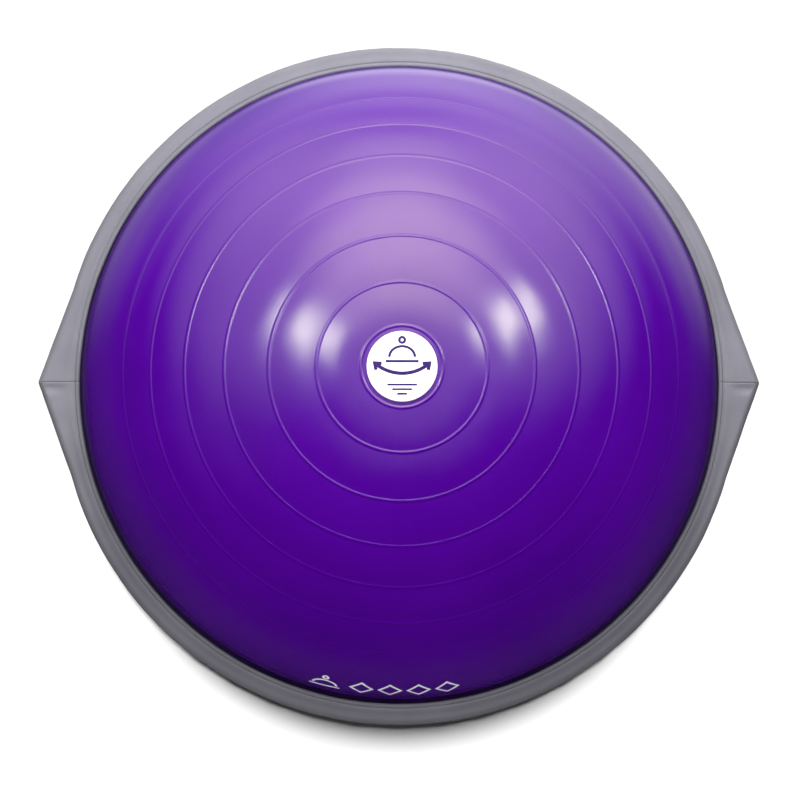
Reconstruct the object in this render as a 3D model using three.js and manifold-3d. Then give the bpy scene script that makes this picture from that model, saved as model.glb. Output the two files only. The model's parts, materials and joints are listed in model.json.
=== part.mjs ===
// Balance dome trainer: an air-filled PVC dome on a round two-shell platform, held by a vinyl skirt
// that wraps over the platform's edge and is clamped under it by a screwed ring.
// Millimetres, +Z up. The origin is on the floor below the centre of the dome, and the skirt's two
// corners, with the finger grips under them, point along +X and -X.

import * as THREE from "three";
import { mergeVertices } from "three/addons/utils/BufferGeometryUtils.js";
import Module from "manifold-3d";

// ---- Driving dimensions ----------------------------------------------------------------------

const totalHeight = 230;
const rimRadius = 325; // outside of the skirt where it is round
const cornerReach = 345; // from the centre to the tip of each corner
const cornerHalfAngle = 16; // degrees each side of X over which a corner leaves the round rim
const domeRadius = 301.5; // at the widest level of the dome
const domeWidestZ = 76;
const domeTuck = 9; // how far the dome draws in from its widest level down to its foot
const domeWall = 3;
const labelRadius = 31;
const labelThickness = 0.8;

const footCount = 8;
const footRadius = 20;
const footPitchRadius = 235;
const footHeight = 5.7;
const deckZ = 4; // the flat underside, held this far off the floor by the feet
const shellThickness = 5;
const partingZ = 30; // where the two platform shells meet
const trayFloorZ = 46.7; // the level that the air chamber rests on
const trayRimZ = 54.9;

const ringScrewCount = 12;
const deckScrewCount = 8;
const gap = 0.3; // between neighbouring pieces

const roundSegments = 48; // around every large ring, so that nested rings share their facets
const labelSegments = 24;
const smallSegments = 16;
const boltSegments = 8;

// ---- Worked-out levels and radii -------------------------------------------------------------

const crownZ = totalHeight - gap - labelThickness;
const domeRise = crownZ - domeWidestZ;

const skirtThickness = 2.5;
const skirtInnerRadius = rimRadius - skirtThickness;
const shellRadius = skirtInnerRadius - gap;
const shellWallRadius = shellRadius - shellThickness; // inner face of the platform's edge wall

const topArcRadius = 318; // centre of the skirt's upper rounding
const topArcZ = 50.5;
const bottomArcRadius = 315; // centre of the skirt's lower rounding
const bottomArcZ = 19;
const cornerStretchFrom = 311; // inside this radius nothing follows the corners
const cornerStretchFull = 319; // outside this radius everything follows them fully

const ringBottomZ = 4.5;
const ringTopZ = 8.5;
const ringInnerRadius = 298.3;
const stepTopZ = 18; // upper face of the deck's thick step, which the ring is screwed to
const stepInset = 3.5; // the step's inner side stands this far inside the ring's
const ringOuterRadius = 313;
const clampZ = ringTopZ + gap; // underside of the skirt's hem and of the deck's step
const hemInnerRadius = 311.2;
const beadRadius = 2.2;
const beadPitchRadius = hemInnerRadius - gap - beadRadius;
const beadZ = clampZ + beadRadius;

const diaphragmZ = trayFloorZ + gap;
const diaphragmThickness = 2;
const chamberFloorZ = diaphragmZ + diaphragmThickness;
const trayRecessRadius = 300;
const diaphragmRadius = trayRecessRadius - gap;
const diaphragmWall = 1.5;
const flangeZ = trayRimZ + gap;
const flangeRadius = 309;

const bandBottomZ = flangeZ + diaphragmWall + gap; // the skirt's band lies on the diaphragm's flange
const bandTopZ = bandBottomZ + skirtThickness;
const lipRadius = 305.3; // middle of the rounded lip that stands round the dome
const lipReach = [2.8, 1.5]; // its half width and its height over its centre
const lipSink = 0.4; // its centre lies this far below the band's face
const grooveInner = 0.6; // the weld groove beside the lip, from its deepest line to its outer edge
const grooveOuter = 1.5;
const grooveDepth = 0.8;

const wellRadius = 28; // the opening that the valve is reached through
const wellWall = 3;
const valveNeckRadius = 12;
const valveBoreRadius = 5.3;
const valveBottomZ = 30;
const valveFlange = { reach: 10, thickness: 2 };
const valveClearance = 2; // between the neck and the tray's hole
const plugHead = { height: 5, inset: 1, bevel: 1, rim: 2, dish: 1.5 }; // dished inside a flat rim
const plugStem = { length: 14, taper: 1.2, tip: 1 }; // straight length, taper, and reach past the bore

const gripOuterX = 289;
const gripInnerX = 251;
const gripHalfLength = 48;
const gripCornerRadius = 16;
const gripDepth = 32;
const gripWall = 2.5;
const gripFlange = { reach: 3, thickness: 2 };

const ringScrewPitchRadius = 303;
const ringScrewHead = { radius: 3.3, height: 2, bottomZ: 4.6, shankRadius: 1.8, tipZ: 17 };
const deckScrewPitchRadius = 150;
const deckScrewHead = { radius: 5, height: 2.2, bottomZ: 4.2, shankRadius: 2.2, tipZ: 24 };
const bossRadius = 7;
const bossRoot = 1; // how far a boss runs up into the tray's plate
const screwPoint = 2; // length of the cone at the tip
const socketDepth = 0.6; // as a share of the head's height

// ---- Geometry helpers ------------------------------------------------------------------------

const wasm = await Module();
wasm.setup();

const radians = THREE.MathUtils.degToRad;

// A closed mesh with shared vertices and without the flat triangles of a lathe's pole.
function weld(geometry) {
  const bare = geometry.clone();
  bare.deleteAttribute("normal");
  bare.deleteAttribute("uv");
  const merged = mergeVertices(bare, 1e-4);
  const corners = merged.index.array;
  const kept = [];
  for (let i = 0; i < corners.length; i += 3) {
    const [a, b, c] = corners.slice(i, i + 3);
    if (a !== b && b !== c && c !== a) kept.push(a, b, c);
  }
  merged.setIndex(kept);
  return merged;
}

function toSolid(geometry) {
  const closed = weld(geometry);
  return new wasm.Manifold(
    new wasm.Mesh({
      numProp: 3,
      vertProperties: new Float32Array(closed.attributes.position.array),
      triVerts: new Uint32Array(closed.index.array),
    })
  );
}

function toGeometry(solid) {
  const mesh = solid.getMesh();
  const geometry = new THREE.BufferGeometry();
  geometry.setAttribute("position", new THREE.BufferAttribute(mesh.vertProperties, mesh.numProp));
  geometry.setIndex(new THREE.BufferAttribute(mesh.triVerts, 1));
  geometry.computeVertexNormals();
  return geometry;
}

// Joins `extras` to a body and then takes `cuts` out of it.
function build(body, extras, cuts) {
  let solid = toSolid(body);
  for (const extra of extras) {
    solid = solid.add(toSolid(extra));
  }
  for (const cut of cuts) {
    solid = solid.subtract(toSolid(cut));
  }
  return toGeometry(solid);
}

// Points on an ellipse, as [radius, height] pairs, from one angle to another in degrees.
function arc(centre, reach, from, to, steps) {
  return Array.from({ length: steps + 1 }, (_, i) => {
    const angle = radians(THREE.MathUtils.lerp(from, to, i / steps));
    return [centre[0] + reach[0] * Math.cos(angle), centre[1] + reach[1] * Math.sin(angle)];
  });
}

// Turns a profile of [radius, height] pairs, listed anticlockwise, about the Z axis.
function turn(profile, segments = roundSegments) {
  const points = profile.map(([radius, height]) => new THREE.Vector2(radius, height));
  return new THREE.LatheGeometry(points, segments).rotateX(Math.PI / 2);
}

// The same for a ring, whose profile closes on itself.
function turnRing(profile, segments = roundSegments) {
  return turn([...profile, profile[0]], segments);
}

function disc(radius, fromZ, toZ, segments = boltSegments) {
  return turn([[0, fromZ], [radius, fromZ], [radius, toZ], [0, toZ]], segments);
}

// How far the outline stands outside the round rim, at a bearing from +X in radians.
function cornerRise(bearing) {
  const fromCorner = Math.asin(Math.abs(Math.sin(bearing)));
  const meet = radians(cornerHalfAngle);
  if (fromCorner >= meet) return 0;
  const sideNormal = Math.atan2(
    cornerReach - rimRadius * Math.cos(meet),
    rimRadius * Math.sin(meet)
  );
  const sideDistance = cornerReach * Math.cos(sideNormal);
  return sideDistance / Math.cos(fromCorner - sideNormal) - rimRadius;
}

// Draws the edge of a round piece out into the two corners.
function stretchCorners(geometry) {
  const place = geometry.attributes.position;
  for (let i = 0; i < place.count; i++) {
    const x = place.getX(i);
    const y = place.getY(i);
    const radius = Math.hypot(x, y);
    const share = (radius - cornerStretchFrom) / (cornerStretchFull - cornerStretchFrom);
    const rise = cornerRise(Math.atan2(y, x)) * THREE.MathUtils.clamp(share, 0, 1);
    const scale = radius > 0 ? (radius + rise) / radius : 1;
    place.setXY(i, x * scale, y * scale);
  }
  return geometry;
}

// Places on a circle: `count` bearings in degrees, starting half a step from +X.
function bearings(count) {
  const step = 360 / count;
  return Array.from({ length: count }, (_, i) => step * (i + 0.5));
}

function onCircle(radius, bearing) {
  return [radius * Math.cos(radians(bearing)), radius * Math.sin(radians(bearing))];
}

// One copy of a piece for each bearing, for joining or cutting.
function copies(geometry, radius, count) {
  return bearings(count).map((bearing) => {
    const [x, y] = onCircle(radius, bearing);
    return geometry.clone().translate(x, y, 0);
  });
}

// A block with round corners around a grip pocket, grown by `grow` on every side.
function gripBlock(side, grow, fromZ, toZ) {
  const halfX = (gripOuterX - gripInnerX) / 2 + grow;
  const halfY = gripHalfLength + grow;
  const corner = gripCornerRadius + grow;
  const outline = new THREE.Shape();
  outline.absarc(halfX - corner, halfY - corner, corner, 0, radians(90));
  outline.absarc(corner - halfX, halfY - corner, corner, radians(90), radians(180));
  outline.absarc(corner - halfX, corner - halfY, corner, radians(180), radians(270));
  outline.absarc(halfX - corner, corner - halfY, corner, radians(270), radians(360));
  const block = new THREE.ExtrudeGeometry(outline, {
    depth: toZ - fromZ,
    bevelEnabled: false,
    curveSegments: 3,
  });
  return block.translate((side * (gripOuterX + gripInnerX)) / 2, 0, fromZ);
}

// ---- Materials -------------------------------------------------------------------------------

function finish(color, roughness, metalness = 0) {
  return new THREE.MeshStandardMaterial({ color, roughness, metalness });
}

const purplePvc = finish(0x4a0f8c, 0.28);
const chamberPvc = finish(0x160a2b, 0.5);
const printedLabel = finish(0xf1eef4, 0.35);
const greyVinyl = finish(0xa7a5ac, 0.45);
const blackCord = finish(0x2a2a2c, 0.8);
const charcoalPlastic = finish(0x2c2c30, 0.55);
const blackPlastic = finish(0x1b1b1d, 0.5);
const valvePlastic = finish(0xd9d8de, 0.4);
const blackRubber = finish(0x161617, 0.85);
const screwSteel = finish(0xb4b6ba, 0.35, 1);

// ---- Air chamber -----------------------------------------------------------------------------

// Height of the dome's outer surface above a radius, on its elliptical upper part.
function domeHeight(radius) {
  return domeWidestZ + domeRise * Math.sqrt(1 - (radius / domeRadius) ** 2);
}

// The short lower part, from the foot up to the widest level, which draws in towards the foot.
function domeSide(inset, steps) {
  const footZ = chamberFloorZ + gap;
  return Array.from({ length: steps }, (_, i) => {
    const below = 1 - i / steps;
    const radius = domeRadius - domeTuck * below ** 2 - inset;
    return [radius, THREE.MathUtils.lerp(domeWidestZ, footZ, below)];
  });
}

function domeShell() {
  const centre = [0, domeWidestZ];
  const outerReach = [domeRadius, domeRise];
  const innerReach = [domeRadius - domeWall, domeRise - domeWall];
  const outside = [...domeSide(0, 3), ...arc(centre, outerReach, 0, 90, 13)];
  const inside = [...arc(centre, innerReach, 90, 0, 8), ...domeSide(domeWall, 2).reverse()];
  return turnRing([...outside, ...inside]);
}

// The printed disc lies on the crown and follows its curve.
function centreLabel() {
  const radii = [0, labelRadius / 2, labelRadius];
  const underside = radii.map((radius) => [radius, domeHeight(radius) + gap]);
  const face = radii.map((radius) => [radius, domeHeight(radius) + gap + labelThickness]);
  return turn([...underside, ...face.reverse()], labelSegments);
}

// The chamber's floor: flat on the tray, up the tray's step and out as a flange under the skirt.
function bladderDiaphragm() {
  const holeRadius = valveNeckRadius + gap;
  const stepRadius = diaphragmRadius - diaphragmWall;
  return turnRing([
    [holeRadius, diaphragmZ],
    [diaphragmRadius, diaphragmZ],
    [diaphragmRadius, flangeZ],
    [flangeRadius, flangeZ],
    [flangeRadius, flangeZ + diaphragmWall],
    [stepRadius, flangeZ + diaphragmWall],
    [stepRadius, chamberFloorZ],
    [holeRadius, chamberFloorZ],
  ]);
}

// The valve: a flange welded inside the chamber and a neck that stands down into the well.
function valveBody() {
  const flangeBottomZ = chamberFloorZ + gap;
  const flangeTopZ = flangeBottomZ + valveFlange.thickness;
  const valveFlangeRadius = valveNeckRadius + valveFlange.reach;
  return turnRing([
    [valveBoreRadius, valveBottomZ],
    [valveNeckRadius, valveBottomZ],
    [valveNeckRadius, flangeBottomZ],
    [valveFlangeRadius, flangeBottomZ],
    [valveFlangeRadius, flangeTopZ],
    [valveBoreRadius, flangeTopZ],
  ], smallSegments);
}

// The stopper: a wide head with a dished face to pull on, and a stem that narrows towards its tip.
function valvePlug() {
  const headTopZ = valveBottomZ - gap;
  const headBottomZ = headTopZ - plugHead.height;
  const headRadius = valveNeckRadius - plugHead.inset;
  const faceRadius = headRadius - plugHead.bevel;
  const stemRadius = valveBoreRadius - gap;
  const tipZ = chamberFloorZ + plugStem.tip;
  return turn([
    [0, headBottomZ + plugHead.dish],
    [faceRadius - plugHead.rim, headBottomZ],
    [faceRadius, headBottomZ],
    [headRadius, headBottomZ + plugHead.bevel],
    [headRadius, headTopZ],
    [stemRadius, headTopZ],
    [stemRadius, headTopZ + plugStem.length],
    [stemRadius - plugStem.taper, tipZ],
    [0, tipZ],
  ], smallSegments);
}

// ---- Skirt -----------------------------------------------------------------------------------

// The skirt's section: hem, lower rounding, side, upper rounding, sloping band, weld groove and lip.
function skirtRing() {
  const lipCentre = [lipRadius, bandTopZ - lipSink];
  const grooveRadius = lipRadius + lipReach[0];
  const bottom = [bottomArcRadius, bottomArcZ];
  const top = [topArcRadius, topArcZ];
  const outer = rimRadius - topArcRadius;
  const inner = outer - skirtThickness;
  const lowerReach = bottomArcZ - clampZ;
  const profile = [
    [hemInnerRadius, clampZ],
    ...arc(bottom, [rimRadius - bottomArcRadius, lowerReach], -90, 0, 4),
    ...arc(top, [outer, outer], 0, 90, 4),
    [grooveRadius + grooveOuter, bandTopZ],
    [grooveRadius + grooveInner, bandTopZ - grooveDepth],
    ...arc(lipCentre, lipReach, 0, 180, 4),
    [lipRadius - lipReach[0], bandBottomZ],
    [flangeRadius + gap, bandBottomZ],
    ...arc(top, [inner, inner], 90, 0, 4),
    ...arc(bottom, [skirtInnerRadius - bottomArcRadius, lowerReach - skirtThickness], 0, -90, 4),
    [hemInnerRadius, clampZ + skirtThickness],
  ];
  return stretchCorners(turnRing(profile));
}

// One half of the skirt, front (-Y) or rear (+Y); the halves meet in a seam at each corner.
function skirtHalf(side) {
  const span = 2 * (cornerReach + 10);
  const keep = new THREE.BoxGeometry(span, span / 2, span / 2);
  keep.translate(0, side * (span / 4 + gap / 2), 0);
  return toGeometry(toSolid(skirtRing()).intersect(toSolid(keep)));
}

// The cord inside the skirt's hem, which stops the hem slipping out from under the ring.
function hemBead() {
  const section = arc([beadPitchRadius, beadZ], [beadRadius, beadRadius], 0, 300, 5);
  return turnRing(section);
}

// ---- Platform --------------------------------------------------------------------------------

function screwHoles(screw, pitchRadius, count, headRoom) {
  const shank = disc(screw.shankRadius + gap, screw.bottomZ, screw.tipZ + gap);
  const head = disc(screw.radius + gap, 0, screw.bottomZ + screw.height + headRoom);
  return [...copies(shank, pitchRadius, count), ...copies(head, pitchRadius, count)];
}

// The upper shell: a shallow dish for the air chamber, its edge wall, and the screw bosses below.
function platformTray() {
  const plateBottomZ = trayFloorZ - shellThickness;
  const edgeReach = shellRadius - topArcRadius;
  const holeRadius = valveNeckRadius + valveClearance;
  const shell = stretchCorners(
    turnRing([
      [holeRadius, plateBottomZ],
      [shellWallRadius, plateBottomZ],
      [shellWallRadius, partingZ + gap / 2],
      [shellRadius, partingZ + gap / 2],
      ...arc([topArcRadius, topArcZ], [edgeReach, edgeReach], 0, 90, 4),
      [flangeRadius + gap, trayRimZ],
      [trayRecessRadius, trayRimZ],
      [trayRecessRadius, trayFloorZ],
      [holeRadius, trayFloorZ],
    ])
  );
  const boss = disc(bossRadius, deckZ + shellThickness + gap, plateBottomZ + bossRoot);
  const pilot = disc(deckScrewHead.shankRadius + gap, 0, deckScrewHead.tipZ + gap);
  return build(
    shell,
    copies(boss, deckScrewPitchRadius, deckScrewCount),
    copies(pilot, deckScrewPitchRadius, deckScrewCount)
  );
}

// The lower shell: the flat underside with the valve well, and a stepped edge for hem and ring.
function platformDeck() {
  const plateTopZ = deckZ + shellThickness;
  const stepRadius = ringInnerRadius - gap;
  const grooveOuterRadius = hemInnerRadius;
  const grooveInnerRadius = beadPitchRadius - beadRadius - gap;
  const grooveTopZ = beadZ + beadRadius + gap;
  const hemCeilingZ = clampZ + skirtThickness + gap;
  const edge = [shellRadius - bottomArcRadius, bottomArcZ - hemCeilingZ];
  const shell = stretchCorners(
    turnRing([
      [wellRadius, deckZ],
      [stepRadius, deckZ],
      [stepRadius, clampZ],
      [grooveInnerRadius, clampZ],
      [grooveInnerRadius, grooveTopZ],
      [grooveOuterRadius, grooveTopZ],
      [grooveOuterRadius, hemCeilingZ],
      ...arc([bottomArcRadius, bottomArcZ], edge, -90, 0, 4),
      [shellRadius, partingZ - gap / 2],
      [shellWallRadius, partingZ - gap / 2],
      [shellWallRadius, stepTopZ],
      [stepRadius - stepInset, stepTopZ],
      [stepRadius - stepInset, plateTopZ],
      [wellRadius + wellWall, plateTopZ],
      [wellRadius + wellWall, trayFloorZ - shellThickness - gap],
      [wellRadius, trayFloorZ - shellThickness - gap],
    ])
  );
  const footRecess = disc(footRadius + gap, 0, footHeight + gap, smallSegments);
  const cuts = [
    ...copies(footRecess, footPitchRadius, footCount),
    ...copies(
      disc(ringScrewHead.shankRadius + gap, 0, ringScrewHead.tipZ + gap),
      ringScrewPitchRadius,
      ringScrewCount
    ),
    ...screwHoles(deckScrewHead, deckScrewPitchRadius, deckScrewCount, gap),
    gripBlock(1, gap, 0, plateTopZ + 1),
    gripBlock(-1, gap, 0, plateTopZ + 1),
  ];
  return build(shell, [], cuts);
}

// The ring that clamps the hem, with a counterbore for each screw head.
function retainingRing() {
  const ring = turnRing([
    [ringInnerRadius, ringBottomZ],
    [ringOuterRadius, ringBottomZ],
    [ringOuterRadius, ringTopZ],
    [ringInnerRadius, ringTopZ],
  ]);
  return build(ring, [], screwHoles(ringScrewHead, ringScrewPitchRadius, ringScrewCount, gap));
}

// A tub, open downwards, that four fingers reach into; its flange rests on the deck's inner face.
function gripCup(side) {
  const topZ = deckZ + gripDepth + gripWall;
  const flangeBottomZ = deckZ + shellThickness + gap;
  const tub = gripBlock(side, 0, deckZ, topZ);
  const flangeTopZ = flangeBottomZ + gripFlange.thickness;
  const flange = gripBlock(side, gripFlange.reach, flangeBottomZ, flangeTopZ);
  const hollow = gripBlock(side, -gripWall, 0, deckZ + gripDepth);
  return build(tub, [flange], [hollow]);
}

// A foot with a chamfered lower edge, glued into a shallow recess of the deck.
function rubberFoot() {
  const chamfer = 2;
  return turn([
    [0, 0],
    [footRadius - chamfer, 0],
    [footRadius, chamfer],
    [footRadius, footHeight],
    [0, footHeight],
  ], smallSegments);
}

// A screw standing head down, with a hexagonal socket in its head.
function screw({ radius, height, bottomZ, shankRadius, tipZ }) {
  const headTopZ = bottomZ + height;
  const body = turn([
    [0, bottomZ],
    [radius, bottomZ],
    [radius, headTopZ],
    [shankRadius, headTopZ],
    [shankRadius, tipZ - screwPoint],
    [0, tipZ],
  ], boltSegments);
  const socketSides = 6;
  const socket = disc(radius / 2, 0, bottomZ + height * socketDepth, socketSides);
  return build(body, [], [socket]);
}

// ---- Assembly --------------------------------------------------------------------------------

const trainer = new THREE.Group();

function place(name, geometry, material, x = 0, y = 0) {
  const mesh = new THREE.Mesh(geometry, material);
  mesh.name = name;
  mesh.position.set(x, y, 0);
  trainer.add(mesh);
}

// One named copy of a piece at each bearing of a circle.
function placeRound(name, geometry, material, radius, count) {
  bearings(count).forEach((bearing, i) => {
    const [x, y] = onCircle(radius, bearing);
    place(`${name}_${i + 1}`, geometry, material, x, y);
  });
}

place("dome_shell", domeShell(), purplePvc);
place("centre_label", centreLabel(), printedLabel);
place("bladder_diaphragm", bladderDiaphragm(), chamberPvc);
place("valve_body", valveBody(), valvePlastic);
place("valve_plug", valvePlug(), valvePlastic);
place("skirt_front", skirtHalf(-1), greyVinyl);
place("skirt_rear", skirtHalf(1), greyVinyl);
place("hem_bead", hemBead(), blackCord);
place("platform_tray", platformTray(), charcoalPlastic);
place("platform_deck", platformDeck(), charcoalPlastic);
place("retaining_ring", retainingRing(), blackPlastic);
place("grip_cup_right", gripCup(1), blackPlastic);
place("grip_cup_left", gripCup(-1), blackPlastic);
placeRound("rubber_foot", rubberFoot(), blackRubber, footPitchRadius, footCount);
placeRound("ring_screw", screw(ringScrewHead), screwSteel, ringScrewPitchRadius, ringScrewCount);
placeRound("deck_screw", screw(deckScrewHead), screwSteel, deckScrewPitchRadius, deckScrewCount);

export default trainer;
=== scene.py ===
"""Looks of the balance dome trainer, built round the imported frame. Metres, +Z up."""

import json
import math

import bmesh
import bpy
import numpy as np
from mathutils import Matrix, Vector

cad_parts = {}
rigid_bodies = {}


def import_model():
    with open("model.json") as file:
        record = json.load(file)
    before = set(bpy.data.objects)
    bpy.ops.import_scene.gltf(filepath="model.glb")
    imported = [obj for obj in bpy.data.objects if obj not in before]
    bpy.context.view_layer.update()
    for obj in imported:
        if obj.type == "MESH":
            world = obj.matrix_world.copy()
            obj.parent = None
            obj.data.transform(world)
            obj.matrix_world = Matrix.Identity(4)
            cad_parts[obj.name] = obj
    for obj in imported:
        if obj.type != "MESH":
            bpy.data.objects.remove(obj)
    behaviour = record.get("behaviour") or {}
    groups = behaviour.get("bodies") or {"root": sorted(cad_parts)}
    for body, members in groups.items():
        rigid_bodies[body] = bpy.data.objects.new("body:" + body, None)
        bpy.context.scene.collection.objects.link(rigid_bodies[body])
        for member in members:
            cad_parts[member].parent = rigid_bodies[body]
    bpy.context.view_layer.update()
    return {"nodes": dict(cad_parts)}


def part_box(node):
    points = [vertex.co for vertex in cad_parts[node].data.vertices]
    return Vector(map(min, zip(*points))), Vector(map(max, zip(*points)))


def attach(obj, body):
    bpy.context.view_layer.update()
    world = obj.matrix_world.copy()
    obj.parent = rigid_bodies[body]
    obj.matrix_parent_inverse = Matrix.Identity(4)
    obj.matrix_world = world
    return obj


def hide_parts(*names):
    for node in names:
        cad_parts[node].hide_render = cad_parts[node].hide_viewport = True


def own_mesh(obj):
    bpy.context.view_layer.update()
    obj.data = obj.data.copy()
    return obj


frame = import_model()

MM = 0.001
TURN_STEPS = 240  # faces round a full turn

# ---- Sizes, from the frame ---------------------------------------------------------------------

dome_low, dome_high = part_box("dome_shell")
dome_vertices = [v.co for v in frame["nodes"]["dome_shell"].data.vertices]
DOME_RADIUS = dome_high.x
DOME_CROWN_Z = dome_high.z
DOME_FOOT_Z = dome_low.z
DOME_WIDEST_Z = max(dome_vertices, key=lambda co: co.xy.length).z
DOME_RISE = DOME_CROWN_Z - DOME_WIDEST_Z
DOME_FOOT_RADIUS = max(co.xy.length for co in dome_vertices if co.z < DOME_FOOT_Z + 0.1 * MM)
DOME_WALL = 3 * MM

RIM_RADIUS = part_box("skirt_rear")[1].y
CORNER_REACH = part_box("skirt_rear")[1].x
SKIRT_TOP_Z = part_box("skirt_rear")[1].z
HEM_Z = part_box("skirt_rear")[0].z
LABEL_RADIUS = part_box("centre_label")[1].x
LABEL_TOP_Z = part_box("centre_label")[1].z

# ---- Details that the frame doesn't hold -------------------------------------------------------

RIB_FIRST = math.radians(14.5)  # the innermost grip rib, as an angle round the dome's elliptic section
RIB_STEP = math.radians(8.5)
RIB_COUNT = 6
RIB_HEIGHT = 0.4 * MM
RIB_HALF_WIDTH = 1.6 * MM
LABEL_RING = 36.3 * MM  # a small ring rib round the label
PUFF = 0.5 * MM  # the skin swells this much between ribs
EDGE_DRAW_IN = 1.9 * MM  # the skin's edge draws in this much, clear of the skirt's lip
EDGE_FROM = 300 * MM  # distances from the crown over which it does so
EDGE_FULL = 350 * MM
INK = 0.1 * MM  # thickness of the printed marks
LINE_STEPS = 12  # stretches in each straight stroke of a mark, so that it follows the curved surface
EDGE_PRINT_ALONG = 322 * MM  # from the crown over the surface to the print near the dome's edge
EDGE_PRINT_BEARING = math.radians(-94)

CORNER_HALF_ANGLE = math.radians(16)
STRETCH_FROM = 311 * MM  # inside this radius nothing follows the corners
STRETCH_FULL = 319 * MM  # outside this radius everything follows them fully

VINYL = 2.5 * MM  # thickness of the skirt
TOP_ROUNDING = (318 * MM, 50.5 * MM)  # centre of the skirt's upper rounding, as (radius, height)
LOW_ROUNDING = (315 * MM, 19 * MM)
SHOULDER = [(315 * MM, 57.9 * MM), (313 * MM, 58.5 * MM)]  # from the rounding down to the groove
HEM_RADIUS = 311.2 * MM
BAND_DROP = 3.6 * MM  # from the top of the lip to the underside of the band
BAND_INNER_RADIUS = 309.3 * MM  # the band is clear of the air chamber's flange outside this radius
LIP_RADIUS = 306.5 * MM
LIP_REACH = (2.2 * MM, 1.5 * MM)  # half the lip's width, and its height over its centre
LIP_SINK = 0.4 * MM
GROOVE = [(1.6 * MM, 0), (1.1 * MM, 0.1 * MM), (0.5 * MM, 0.45 * MM)]  # outwards from the lip, and down
SEAM_DEPTH = 0.22 * MM
SEAM_WIDTH = 0.7 * MM
DENT_DEPTH = 2.6 * MM
DENT_PLACE = (15 * MM, 6 * MM)  # inwards from a corner's tip, and off its seam
DENT_WIDTH = 4 * MM
DENT_STRETCH = 1.3  # the dent is this much longer than wide
DENT_FLOOR_Z = 38 * MM  # it doesn't reach further down than this
WAVE_HEIGHT = 0.1 * MM
WAVES = [(23, 1.0, 1.0), (41, 2.3, 0.6), (67, 0.0, 0.4)]  # count round the rim, phase and share
WAVES_FROM = 14 * MM  # the waves fade out this close to a seam


# ---- Mesh helpers ------------------------------------------------------------------------------


def make_object(name, vertices, faces, material, sharp_degrees=50):
    """A smooth-shaded mesh object whose doubled points are merged, with its faces pointing out."""
    mesh = bpy.data.meshes.new(name)
    mesh.from_pydata([tuple(v) for v in vertices], [], faces)
    work = bmesh.new()
    work.from_mesh(mesh)
    bmesh.ops.remove_doubles(work, verts=work.verts, dist=1e-7)
    bmesh.ops.recalc_face_normals(work, faces=work.faces)
    work.to_mesh(mesh)
    work.free()
    mesh.shade_smooth()
    mesh.set_sharp_from_angle(angle=math.radians(sharp_degrees))
    mesh.materials.append(material)
    obj = bpy.data.objects.new(name, mesh)
    bpy.context.collection.objects.link(obj)
    return obj


def arc(centre, reach, start, end, steps):
    """Points on an ellipse as (radius, height) pairs, from one angle to another in degrees."""
    angles = np.radians(np.linspace(start, end, steps + 1))
    return [(centre[0] + reach[0] * math.cos(a), centre[1] + reach[1] * math.sin(a)) for a in angles]


def grid_faces(columns, rows, wrap):
    """Quads between `columns` loops of `rows` points each. Each loop closes on itself."""
    faces = []
    last = columns if wrap else columns - 1
    for i in range(last):
        here = i * rows
        there = (i + 1) % columns * rows
        for j in range(rows):
            k = (j + 1) % rows
            faces.append((here + j, there + j, there + k, here + k))
    return faces


def revolve(name, profile, material, bearings=None, shape=None, sharp_degrees=50):
    """Sweeps a closed profile of (radius, height) pairs round Z. `shape` may move each point."""
    wrap = bearings is None
    if wrap:
        bearings = np.linspace(0, 2 * math.pi, TURN_STEPS + 1)[:-1]
    vertices = []
    for bearing in bearings:
        for j, (radius, height) in enumerate(profile):
            if shape:
                radius, height = shape(radius, height, bearing, j)
            vertices.append((radius * math.cos(bearing), radius * math.sin(bearing), height))
    rows = len(profile)
    faces = grid_faces(len(bearings), rows, wrap)
    if not wrap:
        faces.append(tuple(range(rows)))
        faces.append(tuple(range(len(vertices) - rows, len(vertices))))
    return make_object(name, vertices, faces, material, sharp_degrees)


# ---- Material helpers --------------------------------------------------------------------------


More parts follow.
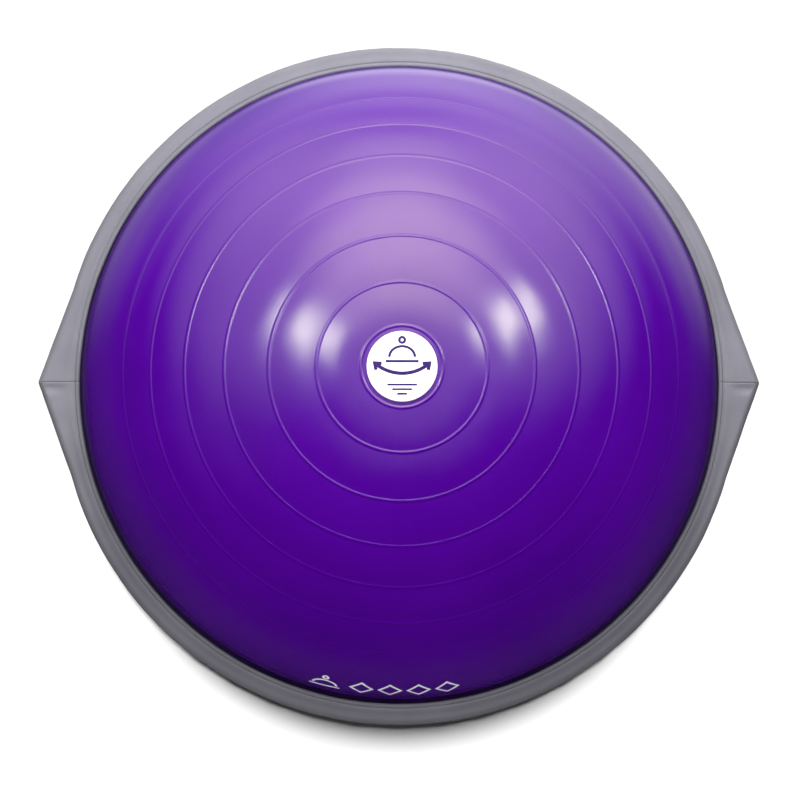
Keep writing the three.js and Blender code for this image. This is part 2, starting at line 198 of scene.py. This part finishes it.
class Surface:
    """A Principled material with short calls for the procedural nodes used here."""

    def __init__(self, name, specular=0.5, metallic=0.0):
        self.material = bpy.data.materials.new(name)
        self.material.use_nodes = True
        self.nodes = self.material.node_tree.nodes
        self.links = self.material.node_tree.links
        self.shader = self.nodes["Principled BSDF"]
        self.shader.inputs["Specular IOR Level"].default_value = specular
        self.shader.inputs["Metallic"].default_value = metallic
        self.place = self.nodes.new("ShaderNodeTexCoord").outputs["Object"]
        self.relief = None

    def noise(self, scale, detail):
        node = self.nodes.new("ShaderNodeTexNoise")
        node.inputs["Scale"].default_value = scale
        node.inputs["Detail"].default_value = detail
        self.links.new(self.place, node.inputs["Vector"])
        return node.outputs["Fac"]

    def cells(self, scale):
        """Distance to the nearest edge between the cells of a Voronoi pattern."""
        node = self.nodes.new("ShaderNodeTexVoronoi")
        node.feature = "DISTANCE_TO_EDGE"
        node.inputs["Scale"].default_value = scale
        self.links.new(self.place, node.inputs["Vector"])
        return node.outputs["Distance"]

    def spread(self, value, low, high, to_low=0.0, to_high=1.0):
        """Stretches the values between low and high over another range, and clips the rest."""
        node = self.nodes.new("ShaderNodeMapRange")
        node.inputs["From Min"].default_value = low
        node.inputs["From Max"].default_value = high
        node.inputs["To Min"].default_value = to_low
        node.inputs["To Max"].default_value = to_high
        self.links.new(value, node.inputs["Value"])
        return node.outputs["Result"]

    def blend(self, share, first, second):
        node = self.nodes.new("ShaderNodeMix")
        node.data_type = "RGBA"
        self.links.new(share, node.inputs["Factor"])
        node.inputs["A"].default_value = (*first, 1)
        node.inputs["B"].default_value = (*second, 1)
        return node.outputs["Result"]

    def colours(self, scale, first, second, low=0.35, high=0.65, detail=4.0):
        """Base colour in soft patches between two colours."""
        share = self.spread(self.noise(scale, detail), low, high)
        self.links.new(self.blend(share, first, second), self.shader.inputs["Base Color"])

    def roughness(self, scale, detail, low, high, rough_low, rough_high):
        """Roughness that follows a noise whose values from low to high cover the whole range."""
        share = self.spread(self.noise(scale, detail), low, high, rough_low, rough_high)
        self.links.new(share, self.shader.inputs["Roughness"])

    def bump(self, height, distance, strength=1.0):
        """Adds a bump layer on top of those made before it."""
        node = self.nodes.new("ShaderNodeBump")
        node.inputs["Strength"].default_value = strength
        node.inputs["Distance"].default_value = distance
        self.links.new(height, node.inputs["Height"])
        if self.relief:
            self.links.new(self.relief, node.inputs["Normal"])
        self.relief = node.outputs["Normal"]
        self.links.new(self.relief, self.shader.inputs["Normal"])


# ---- Materials ---------------------------------------------------------------------------------


def dome_pvc():
    s = Surface("dome_pvc", specular=0.55)
    s.colours(9, (0.047, 0.0, 0.185), (0.055, 0.0003, 0.208), 0.3, 0.7)
    s.shader.inputs["Specular Tint"].default_value = (1.0, 0.85, 0.38, 1)
    s.roughness(60, 5, 0.2, 0.8, 0.15, 0.21)
    s.bump(s.noise(14, 2), 0.4 * MM, 0.3)
    s.bump(s.noise(1100, 2), 0.04 * MM, 0.25)
    return s.material


def label_white():
    s = Surface("label_white")
    s.colours(40, (0.86, 0.85, 0.88), (0.93, 0.92, 0.94))
    s.roughness(150, 3, 0.3, 0.7, 0.16, 0.26)
    s.bump(s.noise(70, 2), 0.2 * MM, 0.2)
    return s.material


def label_ink():
    s = Surface("label_ink", specular=0.2)
    s.colours(400, (0.012, 0.001, 0.060), (0.022, 0.003, 0.095))
    s.roughness(500, 3, 0.3, 0.7, 0.25, 0.4)
    return s.material


def white_ink():
    s = Surface("white_ink")
    s.colours(500, (0.74, 0.70, 0.80), (0.86, 0.83, 0.90))
    s.roughness(500, 3, 0.3, 0.7, 0.3, 0.45)
    return s.material


def skirt_vinyl():
    s = Surface("skirt_vinyl", specular=0.4)
    s.colours(16, (0.115, 0.111, 0.128), (0.132, 0.129, 0.148), detail=5)
    s.roughness(220, 4, 0.3, 0.7, 0.42, 0.56)
    s.bump(s.noise(45, 3), 0.5 * MM, 0.25)
    s.bump(s.spread(s.cells(900), 0.0, 0.25), 0.08 * MM, 0.5)
    return s.material


def moulded_plastic(name, dark, light, specular=0.4):
    s = Surface(name, specular=specular)
    s.colours(30, dark, light)
    s.roughness(300, 4, 0.3, 0.7, 0.48, 0.66)
    s.bump(s.noise(1400, 3), 0.1 * MM, 0.6)
    s.bump(s.noise(25, 2), 0.4 * MM, 0.15)
    return s.material


def foot_rubber():
    s = Surface("foot_rubber", specular=0.3)
    s.colours(120, (0.010, 0.010, 0.011), (0.022, 0.021, 0.021))
    s.roughness(400, 4, 0.3, 0.7, 0.72, 0.92)
    s.bump(s.noise(1800, 3), 0.08 * MM, 0.6)
    return s.material


def valve_plastic():
    s = Surface("valve_plastic")
    s.colours(90, (0.62, 0.61, 0.66), (0.74, 0.73, 0.77))
    s.roughness(400, 3, 0.3, 0.7, 0.32, 0.45)
    s.bump(s.noise(900, 2), 0.05 * MM, 0.4)
    return s.material


def screw_steel():
    s = Surface("screw_steel", metallic=1.0)
    s.colours(350, (0.48, 0.48, 0.50), (0.66, 0.66, 0.67))
    s.roughness(900, 4, 0.3, 0.7, 0.25, 0.45)
    s.bump(s.noise(1500, 3), 0.03 * MM, 0.5)
    return s.material


def hem_cord():
    s = Surface("hem_cord", specular=0.2)
    s.colours(700, (0.012, 0.012, 0.013), (0.035, 0.035, 0.037))
    s.roughness(800, 3, 0.3, 0.7, 0.75, 0.95)
    s.bump(s.cells(1200), 0.3 * MM, 0.6)
    return s.material


def pale_floor():
    s = Surface("pale_floor", specular=0.1)
    s.shader.inputs["Roughness"].default_value = 0.9
    s.colours(3, (0.86, 0.86, 0.86), (0.88, 0.88, 0.88))
    return s.material


# ---- The dome ----------------------------------------------------------------------------------


UPPER_STEPS = 900  # of the outline above and below the widest point
LOWER_STEPS = 80
OUTER_SAMPLES = 110  # of the outline, for the skin's two sides
INNER_SAMPLES = 40


def dome_curve():
    """The dome's plain outline from crown to foot: distance along it, points and tangents."""
    turn = np.linspace(0, math.pi / 2, UPPER_STEPS)
    upper = np.stack([DOME_RADIUS * np.sin(turn), DOME_WIDEST_Z + DOME_RISE * np.cos(turn)], 1)
    below = np.linspace(0, 1, LOWER_STEPS)[1:]
    tuck = (DOME_RADIUS - DOME_FOOT_RADIUS) * below**2
    drop = (DOME_WIDEST_Z - DOME_FOOT_Z) * below
    lower = np.stack([DOME_RADIUS - tuck, DOME_WIDEST_Z - drop], 1)
    points = np.concatenate([upper, lower])
    steps = np.linalg.norm(np.diff(points, axis=0), axis=1)
    along = np.concatenate([[0], np.cumsum(steps)])
    tangents = np.gradient(points, along, axis=0)
    return along, points, tangents


CURVE_ALONG, CURVE_POINTS, CURVE_TANGENTS = dome_curve()
CURVE_LENGTH = CURVE_ALONG[-1]
CURVE_UPPER = (CURVE_ALONG[:UPPER_STEPS], CURVE_POINTS[:UPPER_STEPS, 0])


def dome_point(along, out=0.0):
    """(radius, height) at a distance from the crown over the surface, `out` above the plain skin."""
    radius, height = (np.interp(along, CURVE_ALONG, CURVE_POINTS[:, k]) for k in (0, 1))
    slope_r, slope_z = (np.interp(along, CURVE_ALONG, CURVE_TANGENTS[:, k]) for k in (0, 1))
    length = math.hypot(slope_r, slope_z)
    return max(0.0, radius - slope_z / length * out), height + slope_r / length * out


def rib_place(turn):
    """Distance from the crown at an angle round the elliptic section."""
    return float(np.interp(DOME_RADIUS * math.sin(turn), *reversed(CURVE_UPPER)))


RIBS = [rib_place(RIB_FIRST + RIB_STEP * i) for i in range(RIB_COUNT + 1)]
LAST_ZONE_END = RIBS.pop()


def draw_in(along):
    """How far the skin draws in from its plain outline towards its edge, clear of the skirt's lip."""
    share = min(1.0, max(0.0, (along - EDGE_FROM) / (EDGE_FULL - EDGE_FROM)))
    return EDGE_DRAW_IN * share**2 * (3 - 2 * share)


def dome_relief(along):
    """How far the skin stands out from its plain outline: ribs, and a slight swell between them."""
    out = -PUFF - draw_in(along)
    for rib in [LABEL_RING, *RIBS]:
        out += RIB_HEIGHT * max(0.0, 1 - ((along - rib) / RIB_HALF_WIDTH) ** 2)
    edges = [LABEL_RING, *RIBS, LAST_ZONE_END]
    for start, end in zip(edges, edges[1:]):
        if start < along < end:
            out += PUFF * math.sin(math.pi * (along - start) / (end - start))
    return out


def dome_stations():
    """Distances from the crown at which the skin is sampled: evenly, and finely across each rib."""
    stations = set(np.round(np.linspace(0, CURVE_LENGTH, OUTER_SAMPLES), 6))
    for rib in [LABEL_RING, *RIBS]:
        for share in (-1.35, -1, -0.75, -0.5, -0.25, 0, 0.25, 0.5, 0.75, 1, 1.35):
            stations.add(round(rib + share * RIB_HALF_WIDTH, 6))
    return sorted(stations)


def build_dome(material):
    outside = [dome_point(s, dome_relief(s)) for s in dome_stations()]
    inside = [dome_point(s, -DOME_WALL - draw_in(s)) for s in np.linspace(CURVE_LENGTH, 0, INNER_SAMPLES)]
    dome = revolve("dome_skin", outside + inside, material, sharp_degrees=70)
    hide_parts("dome_shell")
    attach(dome, "dome")
    squash_with_dome(dome)
    return dome


def squash_with_dome(piece):
    """Gives the piece its own copy of its mesh; it doesn't move or flatten it."""
    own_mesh(piece)


# ---- Printed marks -----------------------------------------------------------------------------


def line(start, end):
    return [(start[0] + (end[0] - start[0]) * t, start[1] + (end[1] - start[1]) * t)
            for t in np.linspace(0, 1, LINE_STEPS + 1)]


def outline(corners):
    """A closed path of straight stretches round the corners."""
    path = []
    for start, end in zip(corners, corners[1:] + corners[:1]):
        path += line(start, end)[:-1]
    return path


def circle(centre, radius):
    return arc(centre, (radius, radius), 0, 360, 32)[:-1]


def unit(vectors):
    return vectors / np.linalg.norm(vectors, axis=1)[:, None]


def stroke_edges(path, width, closed):
    """The left and right edge of a stroke along a path, mitred where the path turns."""
    path = np.array(path)
    before = np.roll(path, 1, axis=0)
    after = np.roll(path, -1, axis=0)
    if not closed:
        before[0] = 2 * path[0] - path[1]
        after[-1] = 2 * path[-1] - path[-2]
    side_in = unit(path - before)[:, ::-1] * (-1, 1)
    side_out = unit(after - path)[:, ::-1] * (-1, 1)
    side = unit(side_in + side_out)
    side *= (width / 2 / np.sum(side * side_in, axis=1))[:, None]
    return path + side, path - side


def print_marks(name, strokes, surface, material):
    """Lays strokes on a surface as a thin film. `surface` gives the place of a print point."""
    vertices = []
    faces = []
    for path, width, closed in strokes:
        first = len(vertices)
        for left, right in zip(*stroke_edges(path, width, closed)):
            vertices += [surface(left, 0), surface(right, 0), surface(right, INK), surface(left, INK)]
        quads = grid_faces(len(path), 4, closed)
        faces += [tuple(first + k for k in quad) for quad in quads]
        if not closed:
            last = len(vertices) - 4
            faces += [tuple(range(first, first + 4)), tuple(range(last, last + 4))]
    return make_object(name, vertices, faces, material)


def half_dome_icon(centre, size, width):
    """A half dome standing on a bar, with a small ball above it, as strokes."""
    x, y = centre
    bow = arc((x, y), (size, size * 0.85), 0, 180, 32)
    bar_y = y - width * 1.6
    bar = line((x - size * 1.3, bar_y), (x + size * 1.3, bar_y))
    ball = circle((x, y + size * 1.35), size * 0.22)
    return [(bow, width, False), (bar, width, False), (ball, width, True)]


def label_strokes():
    """A half dome, a rocking arrow below it, and three short bars."""
    size = LABEL_RADIUS
    thin = 1.8 * MM
    bold = 3.2 * MM
    strokes = half_dome_icon((0, size * 0.26), size * 0.36, 2.3 * MM)
    pivot_y = size * 0.98
    swing = size * 1.18
    half_angle = 41
    barb = (size * 0.2, size * 0.2)
    barb_spread = 38
    bar_top = 0.52
    bar_step = 0.13
    rocker = arc((0, pivot_y), (swing, swing), -90 - half_angle, -90 + half_angle, 48)
    strokes.append((rocker, bold, False))
    for side in (-1, 1):
        tip_degrees = -90 + side * half_angle
        tip = arc((0, pivot_y), (swing, swing), tip_degrees, tip_degrees, 0)[0]
        back_degrees = tip_degrees - side * 90
        barbs = [arc(tip, barb, back_degrees + turn, back_degrees + turn, 0)[0]
                 for turn in (-barb_spread, barb_spread)]
        strokes.append((line(barbs[0], tip)[:-1] + line(tip, barbs[1]), bold, False))
    for row, reach in enumerate((0.42, 0.28, 0.14)):
        y = -size * (bar_top + bar_step * row)
        strokes.append((line((-reach * size, y), (reach * size, y)), thin, False))
    return strokes


def build_label(white, ink):
    edge = 0.3 * MM
    thickness = 1.0 * MM
    high = LABEL_TOP_Z - DOME_CROWN_Z
    low = high - thickness
    inner = [dome_point(s, low) for s in np.linspace(0, LABEL_RADIUS - edge, 12)]
    rim = [dome_point(LABEL_RADIUS, low + edge), dome_point(LABEL_RADIUS, high - edge)]
    face = [dome_point(s, high) for s in np.linspace(LABEL_RADIUS - edge, 0, 24)]
    label = revolve("label_disc", inner + rim + face, white)
    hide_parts("centre_label")
    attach(label, "dome")

    def on_label(point, lift):
        radius, height = dome_point(math.hypot(*point), high - INK / 2 + lift)
        bearing = math.atan2(point[1], point[0])
        return radius * math.cos(bearing), radius * math.sin(bearing), height

    marks = print_marks("label_marks", label_strokes(), on_label, ink)
    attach(marks, "dome")


def edge_strokes():
    """A half-dome icon and four hollow diamonds, in a row 130 mm long."""
    bold = 2.2 * MM
    strokes = half_dome_icon((-50 * MM, -6 * MM), 11 * MM, bold)
    half_wide = 10 * MM
    half_high = 10.5 * MM
    first_x = -16 * MM
    spacing = 26.5 * MM
    for i in range(4):
        x = first_x + spacing * i
        corners = [(x - half_wide, 0), (x, half_high), (x + half_wide, 0), (x, -half_high)]
        strokes.append((outline(corners), bold, True))
    return strokes


def build_edge_print(ink):
    middle_radius = dome_point(EDGE_PRINT_ALONG)[0]

    def on_edge(point, lift):
        along = EDGE_PRINT_ALONG - point[1]
        radius, height = dome_point(along, dome_relief(along) - INK / 4 + lift)
        bearing = EDGE_PRINT_BEARING + point[0] / middle_radius
        return radius * math.cos(bearing), radius * math.sin(bearing), height

    marks = print_marks("edge_marks", edge_strokes(), on_edge, ink)
    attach(marks, "dome")
    squash_with_dome(marks)


# ---- The skirt ---------------------------------------------------------------------------------


def corner_rise(bearing):
    """How far the outline stands outside the round rim, as in the frame."""
    from_corner = math.asin(abs(math.sin(bearing)))
    if from_corner >= CORNER_HALF_ANGLE:
        return 0.0
    normal = math.atan2(
        CORNER_REACH - RIM_RADIUS * math.cos(CORNER_HALF_ANGLE),
        RIM_RADIUS * math.sin(CORNER_HALF_ANGLE),
    )
    distance = CORNER_REACH * math.cos(normal)
    return distance / math.cos(from_corner - normal) - RIM_RADIUS


def skirt_profile():
    """The section, as (radius, height), and how many of its points are on the outside."""
    band_bottom_z = SKIRT_TOP_Z - BAND_DROP
    band_top_z = band_bottom_z + VINYL
    lip = (LIP_RADIUS, band_top_z - LIP_SINK)
    lip_edge = LIP_RADIUS + LIP_REACH[0]
    top_reach = RIM_RADIUS - TOP_ROUNDING[0]
    low_reach = (RIM_RADIUS - LOW_ROUNDING[0], LOW_ROUNDING[1] - HEM_Z)
    outside = [
        (HEM_RADIUS, HEM_Z),
        *arc(LOW_ROUNDING, low_reach, -90, 0, 12),
        *[(RIM_RADIUS, z) for z in np.linspace(LOW_ROUNDING[1], TOP_ROUNDING[1], 8)[1:-1]],
        *arc(TOP_ROUNDING, (top_reach, top_reach), 0, 90, 10),
        *SHOULDER,
        *[(lip_edge + out, band_top_z - depth) for out, depth in GROOVE],
        *arc(lip, LIP_REACH, 0, 180, 10),
    ]
    inside = [
        (LIP_RADIUS - LIP_REACH[0], band_bottom_z),
        (BAND_INNER_RADIUS, band_bottom_z),
        *arc(TOP_ROUNDING, (top_reach - VINYL, top_reach - VINYL), 90, 0, 6),
        *arc(LOW_ROUNDING, (low_reach[0] - VINYL, low_reach[1] - VINYL), 0, -90, 6),
        (HEM_RADIUS, HEM_Z + VINYL),
    ]
    return outside + inside, len(outside)


def profile_normals(profile):
    """Outward normals of a closed anticlockwise profile."""
    points = np.array(profile)
    ahead = np.roll(points, -1, axis=0) - np.roll(points, 1, axis=0)
    ahead /= np.linalg.norm(ahead, axis=1)[:, None]
    return np.stack([ahead[:, 1], -ahead[:, 0]], 1)


def bump(distance, width):
    """A smooth bump that is 1 at no distance and fades out over about twice its width."""
    return math.exp(-((distance / width) ** 2))


def skirt_relief(reach, height, bearing):
    """Small shapes of the stretched vinyl: the corner seam, a dent beside it and slight waves."""
    side = math.sin(bearing) * reach
    out = -SEAM_DEPTH * bump(side, SEAM_WIDTH)
    wave = sum(share * math.sin(count * bearing + phase) for count, phase, share in WAVES)
    out += WAVE_HEIGHT * wave * (1 - bump(side, WAVES_FROM))
    if side < 0 and height > DENT_FLOOR_Z:
        from_tip = CORNER_REACH - reach
        to_dent = math.hypot((from_tip - DENT_PLACE[0]) / DENT_STRETCH, side + DENT_PLACE[1])
        out -= DENT_DEPTH * bump(to_dent, DENT_WIDTH)
    return out


def skirt_bearings():
    """Bearings over half a turn, close together near the two corner seams."""
    half_gap = 0.15 * MM / CORNER_REACH
    near = [half_gap + d * MM / CORNER_REACH for d in (0, 0.4, 0.8, 1.2, 1.7, 2.3, 2.9, 3.6, 4.6, 6)]
    corner = list(np.radians(np.arange(1.5, 20, 0.5)))
    quarter = list(np.radians(np.arange(21, 90, 1.5)))
    first = near + corner + quarter
    return first + [math.pi / 2] + [math.pi - b for b in reversed(first)]


def build_skirt(material):
    profile, outside_count = skirt_profile()
    normals = profile_normals(profile)

    def shape(radius, height, bearing, j):
        share = min(1.0, max(0.0, (radius - STRETCH_FROM) / (STRETCH_FULL - STRETCH_FROM)))
        stretched = radius + corner_rise(bearing) * share
        if j < outside_count:
            out = skirt_relief(stretched, height, bearing)
            stretched += normals[j][0] * out
            height += normals[j][1] * out
        return stretched, height

    for name, start in (("rear", 0.0), ("front", math.pi)):
        bearings = [b + start for b in skirt_bearings()]
        half = revolve(f"skirt_{name}_vinyl", profile, material, bearings, shape)
        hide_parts(f"skirt_{name}")
        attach(half, "platform")
        half.visible_glossy = False


# ---- Feet --------------------------------------------------------------------------------------


def foot_profile(radius, top_z):
    """A rubber foot with a rounded edge and three grip grooves round its underside."""
    edge = 2 * MM
    groove = 0.6 * MM
    sole = [(0, 0)]
    for share in (0.25, 0.5, 0.75):
        sole += arc((radius * share, 0), (groove * 1.5, groove), 180, 0, 4)
    rounding = arc((radius - edge, edge), (edge, edge), -90, 0, 5)
    return sole + rounding + [(radius, top_z), (0, top_z)]


def build_feet(material):
    for name in frame["nodes"]:
        if not name.startswith("rubber_foot"):
            continue
        low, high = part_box(name)
        foot = revolve(f"{name}_moulded", foot_profile((high.x - low.x) / 2, high.z), material)
        foot.data.transform(Matrix.Translation(((low.x + high.x) / 2, (low.y + high.y) / 2, 0)))
        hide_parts(name)
        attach(foot, "platform")


# ---- Frame pieces that keep their shape --------------------------------------------------------


def dress(material, *prefixes):
    """Gives the material to every CAD node whose name starts with one of the prefixes."""
    for name, obj in frame["nodes"].items():
        if name.startswith(prefixes):
            for slot in obj.material_slots:
                slot.link = "OBJECT"
                slot.material = material


# ---- Camera, lights and floor ------------------------------------------------------------------

CAMERA_TILT = math.radians(4.2)  # off the vertical, towards -Y
CAMERA_LEAN = math.radians(0.73)  # off the vertical, towards -X
CAMERA_DISTANCE = 2.1
VIEW_WIDTH = 0.767  # at the rim's level
VIEW_CENTRE = Vector((0.0005, -0.0161, 0.045))


def aim(obj, target, up=(0, 1, 0)):
    """Points the object's -Z axis at the target, with +Y of the frame up in its view."""
    back = (obj.location - Vector(target)).normalized()
    right = Vector(up).cross(back).normalized()
    obj.rotation_mode = "QUATERNION"
    obj.rotation_quaternion = Matrix((right, back.cross(right), back)).transposed().to_quaternion()


def build_camera():
    data = bpy.data.cameras.new("camera")
    data.sensor_width = 36
    data.lens = data.sensor_width * CAMERA_DISTANCE / VIEW_WIDTH
    camera = bpy.data.objects.new("camera", data)
    bpy.context.collection.objects.link(camera)
    back = Vector((-math.sin(CAMERA_LEAN), -math.sin(CAMERA_TILT), math.cos(CAMERA_TILT))).normalized()
    camera.location = VIEW_CENTRE + back * CAMERA_DISTANCE
    aim(camera, VIEW_CENTRE)
    bpy.context.scene.camera = camera


def direction(bearing, elevation):
    """A unit vector from the object, with angles in degrees."""
    b = math.radians(bearing)
    e = math.radians(elevation)
    return Vector((math.cos(b) * math.cos(e), math.sin(b) * math.cos(e), math.sin(e)))


def area_light(name, location, width, height, power):
    """A rectangular light that faces the object."""
    data = bpy.data.lights.new(name, "AREA")
    data.shape = "RECTANGLE"
    data.size = width
    data.size_y = height
    data.energy = power
    light = bpy.data.objects.new(name, data)
    bpy.context.collection.objects.link(light)
    light.location = location
    aim(light, LIGHT_TARGET, up=LIGHT_UP)
    return light


def shine_on(light, floor, wanted):
    """Makes a light shine on the floor alone, or on everything but the floor."""
    name = "floor_only" if wanted else "not_on_floor"
    receivers = bpy.data.collections.get(name) or bpy.data.collections.new(name)
    if not receivers.objects:
        receivers.objects.link(floor)
        receivers.collection_objects[0].light_linking.link_state = "INCLUDE" if wanted else "EXCLUDE"
    light.light_linking.receiver_collection = receivers


LIGHT_DISTANCE = 3
LIGHT_TARGET = (0, 0, 0.1)
LIGHT_UP = (0, 0.6, 0.8)  # no light shines along this line
PANEL_SIZE = 1.2
PANELS = {  # bearing and elevation in degrees, power in watts: these light the matt colours
    "key": (90, 35, 149),
    "top_fill": (0, 88, 82),
    "left_fill": (180, 50, 12),
}
GLINT_COLOUR = (0.60, 0.72, 1.0)
GLINT_SHAPE = 0.6  # height over width
GLINTS = {  # place, width and power
    "left_glint": ((-0.88, 0.59, 2.67), 0.58, 21),
    "right_glint": ((1.18, 0.76, 2.67), 0.62, 23),
}
GLOW = [  # bearing, elevation, reach in degrees and strength of the lobes that glossy skin reflects
    (88, 61, 24, 3.8),
    (60, 48, 44, 2.3),
    (120, 48, 44, 2.0),
    (87, 20, 60, 2.0),
    (60, -20, 50, 1.3),
    (120, -20, 50, 0.7),
    (90, -46, 20, 0.9),
]
GLOW_FLOOR = (-62, -50)  # elevations below which reflections see nothing, and above which all
REFLECTED_ROOM = 0.02  # brightness of the room between the lobes
DIM_ROOM = 0.04  # brightness of the room for matt surfaces
FLOOR_SUN = (90, 65)  # bearing and elevation
FLOOR_SUN_ENERGY = 4.3
FLOOR_SUN_ANGLE = math.radians(14)  # how soft its shadow is
SHADOW_MAKERS = ["dome_skin", "platform_deck", "retaining_ring"]


def build_lights(floor):
    """Soft panels, two small glints that only reflections show, and a sun for the floor's shadow."""
    for name, (bearing, elevation, power) in PANELS.items():
        place = direction(bearing, elevation) * LIGHT_DISTANCE
        panel = area_light(name, place, PANEL_SIZE, PANEL_SIZE, power)
        panel.visible_glossy = False
        shine_on(panel, floor, False)
    for name, (location, width, power) in GLINTS.items():
        glint = area_light(name, location, width, GLINT_SHAPE * width, power)
        glint.data.color = GLINT_COLOUR
        glint.visible_diffuse = False
    data = bpy.data.lights.new("floor_sun", "SUN")
    data.energy = FLOOR_SUN_ENERGY
    data.angle = FLOOR_SUN_ANGLE
    sun = bpy.data.objects.new("floor_sun", data)
    bpy.context.collection.objects.link(sun)
    sun.location = direction(*FLOOR_SUN) * LIGHT_DISTANCE
    aim(sun, (0, 0, 0), up=LIGHT_UP)
    shine_on(sun, floor, True)
    return sun


def shade_with(light, names):
    """Lets only these pieces stop the light. The floor shadow then stays tucked under the rim's sides."""
    blockers = bpy.data.collections.new("shadow_makers")
    for name in names:
        blockers.objects.link(bpy.data.objects[name])
    light.light_linking.blocker_collection = blockers


def build_world():
    """White behind the object. Reflections see soft lobes of light towards +Y and a dim room."""
    world = bpy.data.worlds.new("studio")
    bpy.context.scene.world = world
    world.use_nodes = True
    nodes = world.node_tree.nodes
    links = world.node_tree.links
    nodes.clear()
    place = nodes.new("ShaderNodeTexCoord").outputs["Generated"]

    def fade(value, nothing, full, strength):
        """Rises smoothly from 0 to the strength while the value goes from nothing to full."""
        node = nodes.new("ShaderNodeMapRange")
        node.interpolation_type = "SMOOTHSTEP"
        node.inputs["From Min"].default_value = nothing
        node.inputs["From Max"].default_value = full
        node.inputs["To Max"].default_value = strength
        links.new(value, node.inputs["Value"])
        return node.outputs["Result"]

    def background(strength):
        node = nodes.new("ShaderNodeBackground")
        node.inputs["Color"].default_value = (1, 1, 1, 1)
        node.inputs["Strength"].default_value = strength
        return node

    def choose(share, otherwise, chosen):
        node = nodes.new("ShaderNodeMixShader")
        links.new(share, node.inputs["Fac"])
        links.new(otherwise, node.inputs[1])
        links.new(chosen, node.inputs[2])
        return node.outputs["Shader"]

    total = nodes.new("ShaderNodeValue").outputs[0]
    total.default_value = REFLECTED_ROOM
    for bearing, elevation, reach, strength in GLOW:
        towards = nodes.new("ShaderNodeVectorMath")
        towards.operation = "DOT_PRODUCT"
        towards.inputs[1].default_value = direction(bearing, elevation)
        links.new(place, towards.inputs[0])
        added = nodes.new("ShaderNodeMath")
        links.new(total, added.inputs[0])
        lobe = fade(towards.outputs["Value"], math.cos(math.radians(reach)), 1.0, strength)
        links.new(lobe, added.inputs[1])
        total = added.outputs[0]

    apart = nodes.new("ShaderNodeSeparateXYZ")
    links.new(place, apart.inputs["Vector"])
    dark_below, full_above = (math.sin(math.radians(angle)) for angle in GLOW_FLOOR)
    glow = background(1.0)
    links.new(total, glow.inputs["Strength"])
    links.new(fade(apart.outputs["Z"], dark_below, full_above, 1.0), glow.inputs["Color"])

    rays = nodes.new("ShaderNodeLightPath")
    room = background(DIM_ROOM).outputs["Background"]
    unseen = choose(rays.outputs["Is Glossy Ray"], room, glow.outputs["Background"])
    seen = choose(rays.outputs["Is Camera Ray"], unseen, background(1.0).outputs["Background"])
    output = nodes.new("ShaderNodeOutputWorld")
    links.new(seen, output.inputs["Surface"])


def build_floor():
    half = 6.0
    corners = [(-half, -half, 0), (half, -half, 0), (half, half, 0), (-half, half, 0)]
    floor = make_object("floor", corners, [(0, 1, 2, 3)], pale_floor())
    floor.visible_glossy = False
    return floor


# ---- Everything --------------------------------------------------------------------------------

build_camera()
floor_sun = build_lights(build_floor())
build_world()

build_dome(dome_pvc())
build_label(label_white(), label_ink())
build_edge_print(white_ink())
build_skirt(skirt_vinyl())
build_feet(foot_rubber())

dress(moulded_plastic("platform_plastic", (0.020, 0.020, 0.022), (0.034, 0.034, 0.037)), "platform_")
dress(moulded_plastic("ring_plastic", (0.009, 0.009, 0.010), (0.018, 0.018, 0.019)), "retaining_", "grip_cup")
# The air chamber's PVC, darkened nearly to black and given little gloss: painted shade for the gap between
# the dome's foot and the skirt's lip, where the chamber shows.
chamber_pvc = moulded_plastic("chamber_pvc", (0.005, 0.001, 0.016), (0.009, 0.002, 0.026), specular=0.1)
dress(chamber_pvc, "bladder_")
dress(valve_plastic(), "valve_")
dress(hem_cord(), "hem_")
dress(screw_steel(), "ring_screw", "deck_screw")

shade_with(floor_sun, SHADOW_MAKERS)
bpy.context.scene.view_settings.view_transform = "Standard"
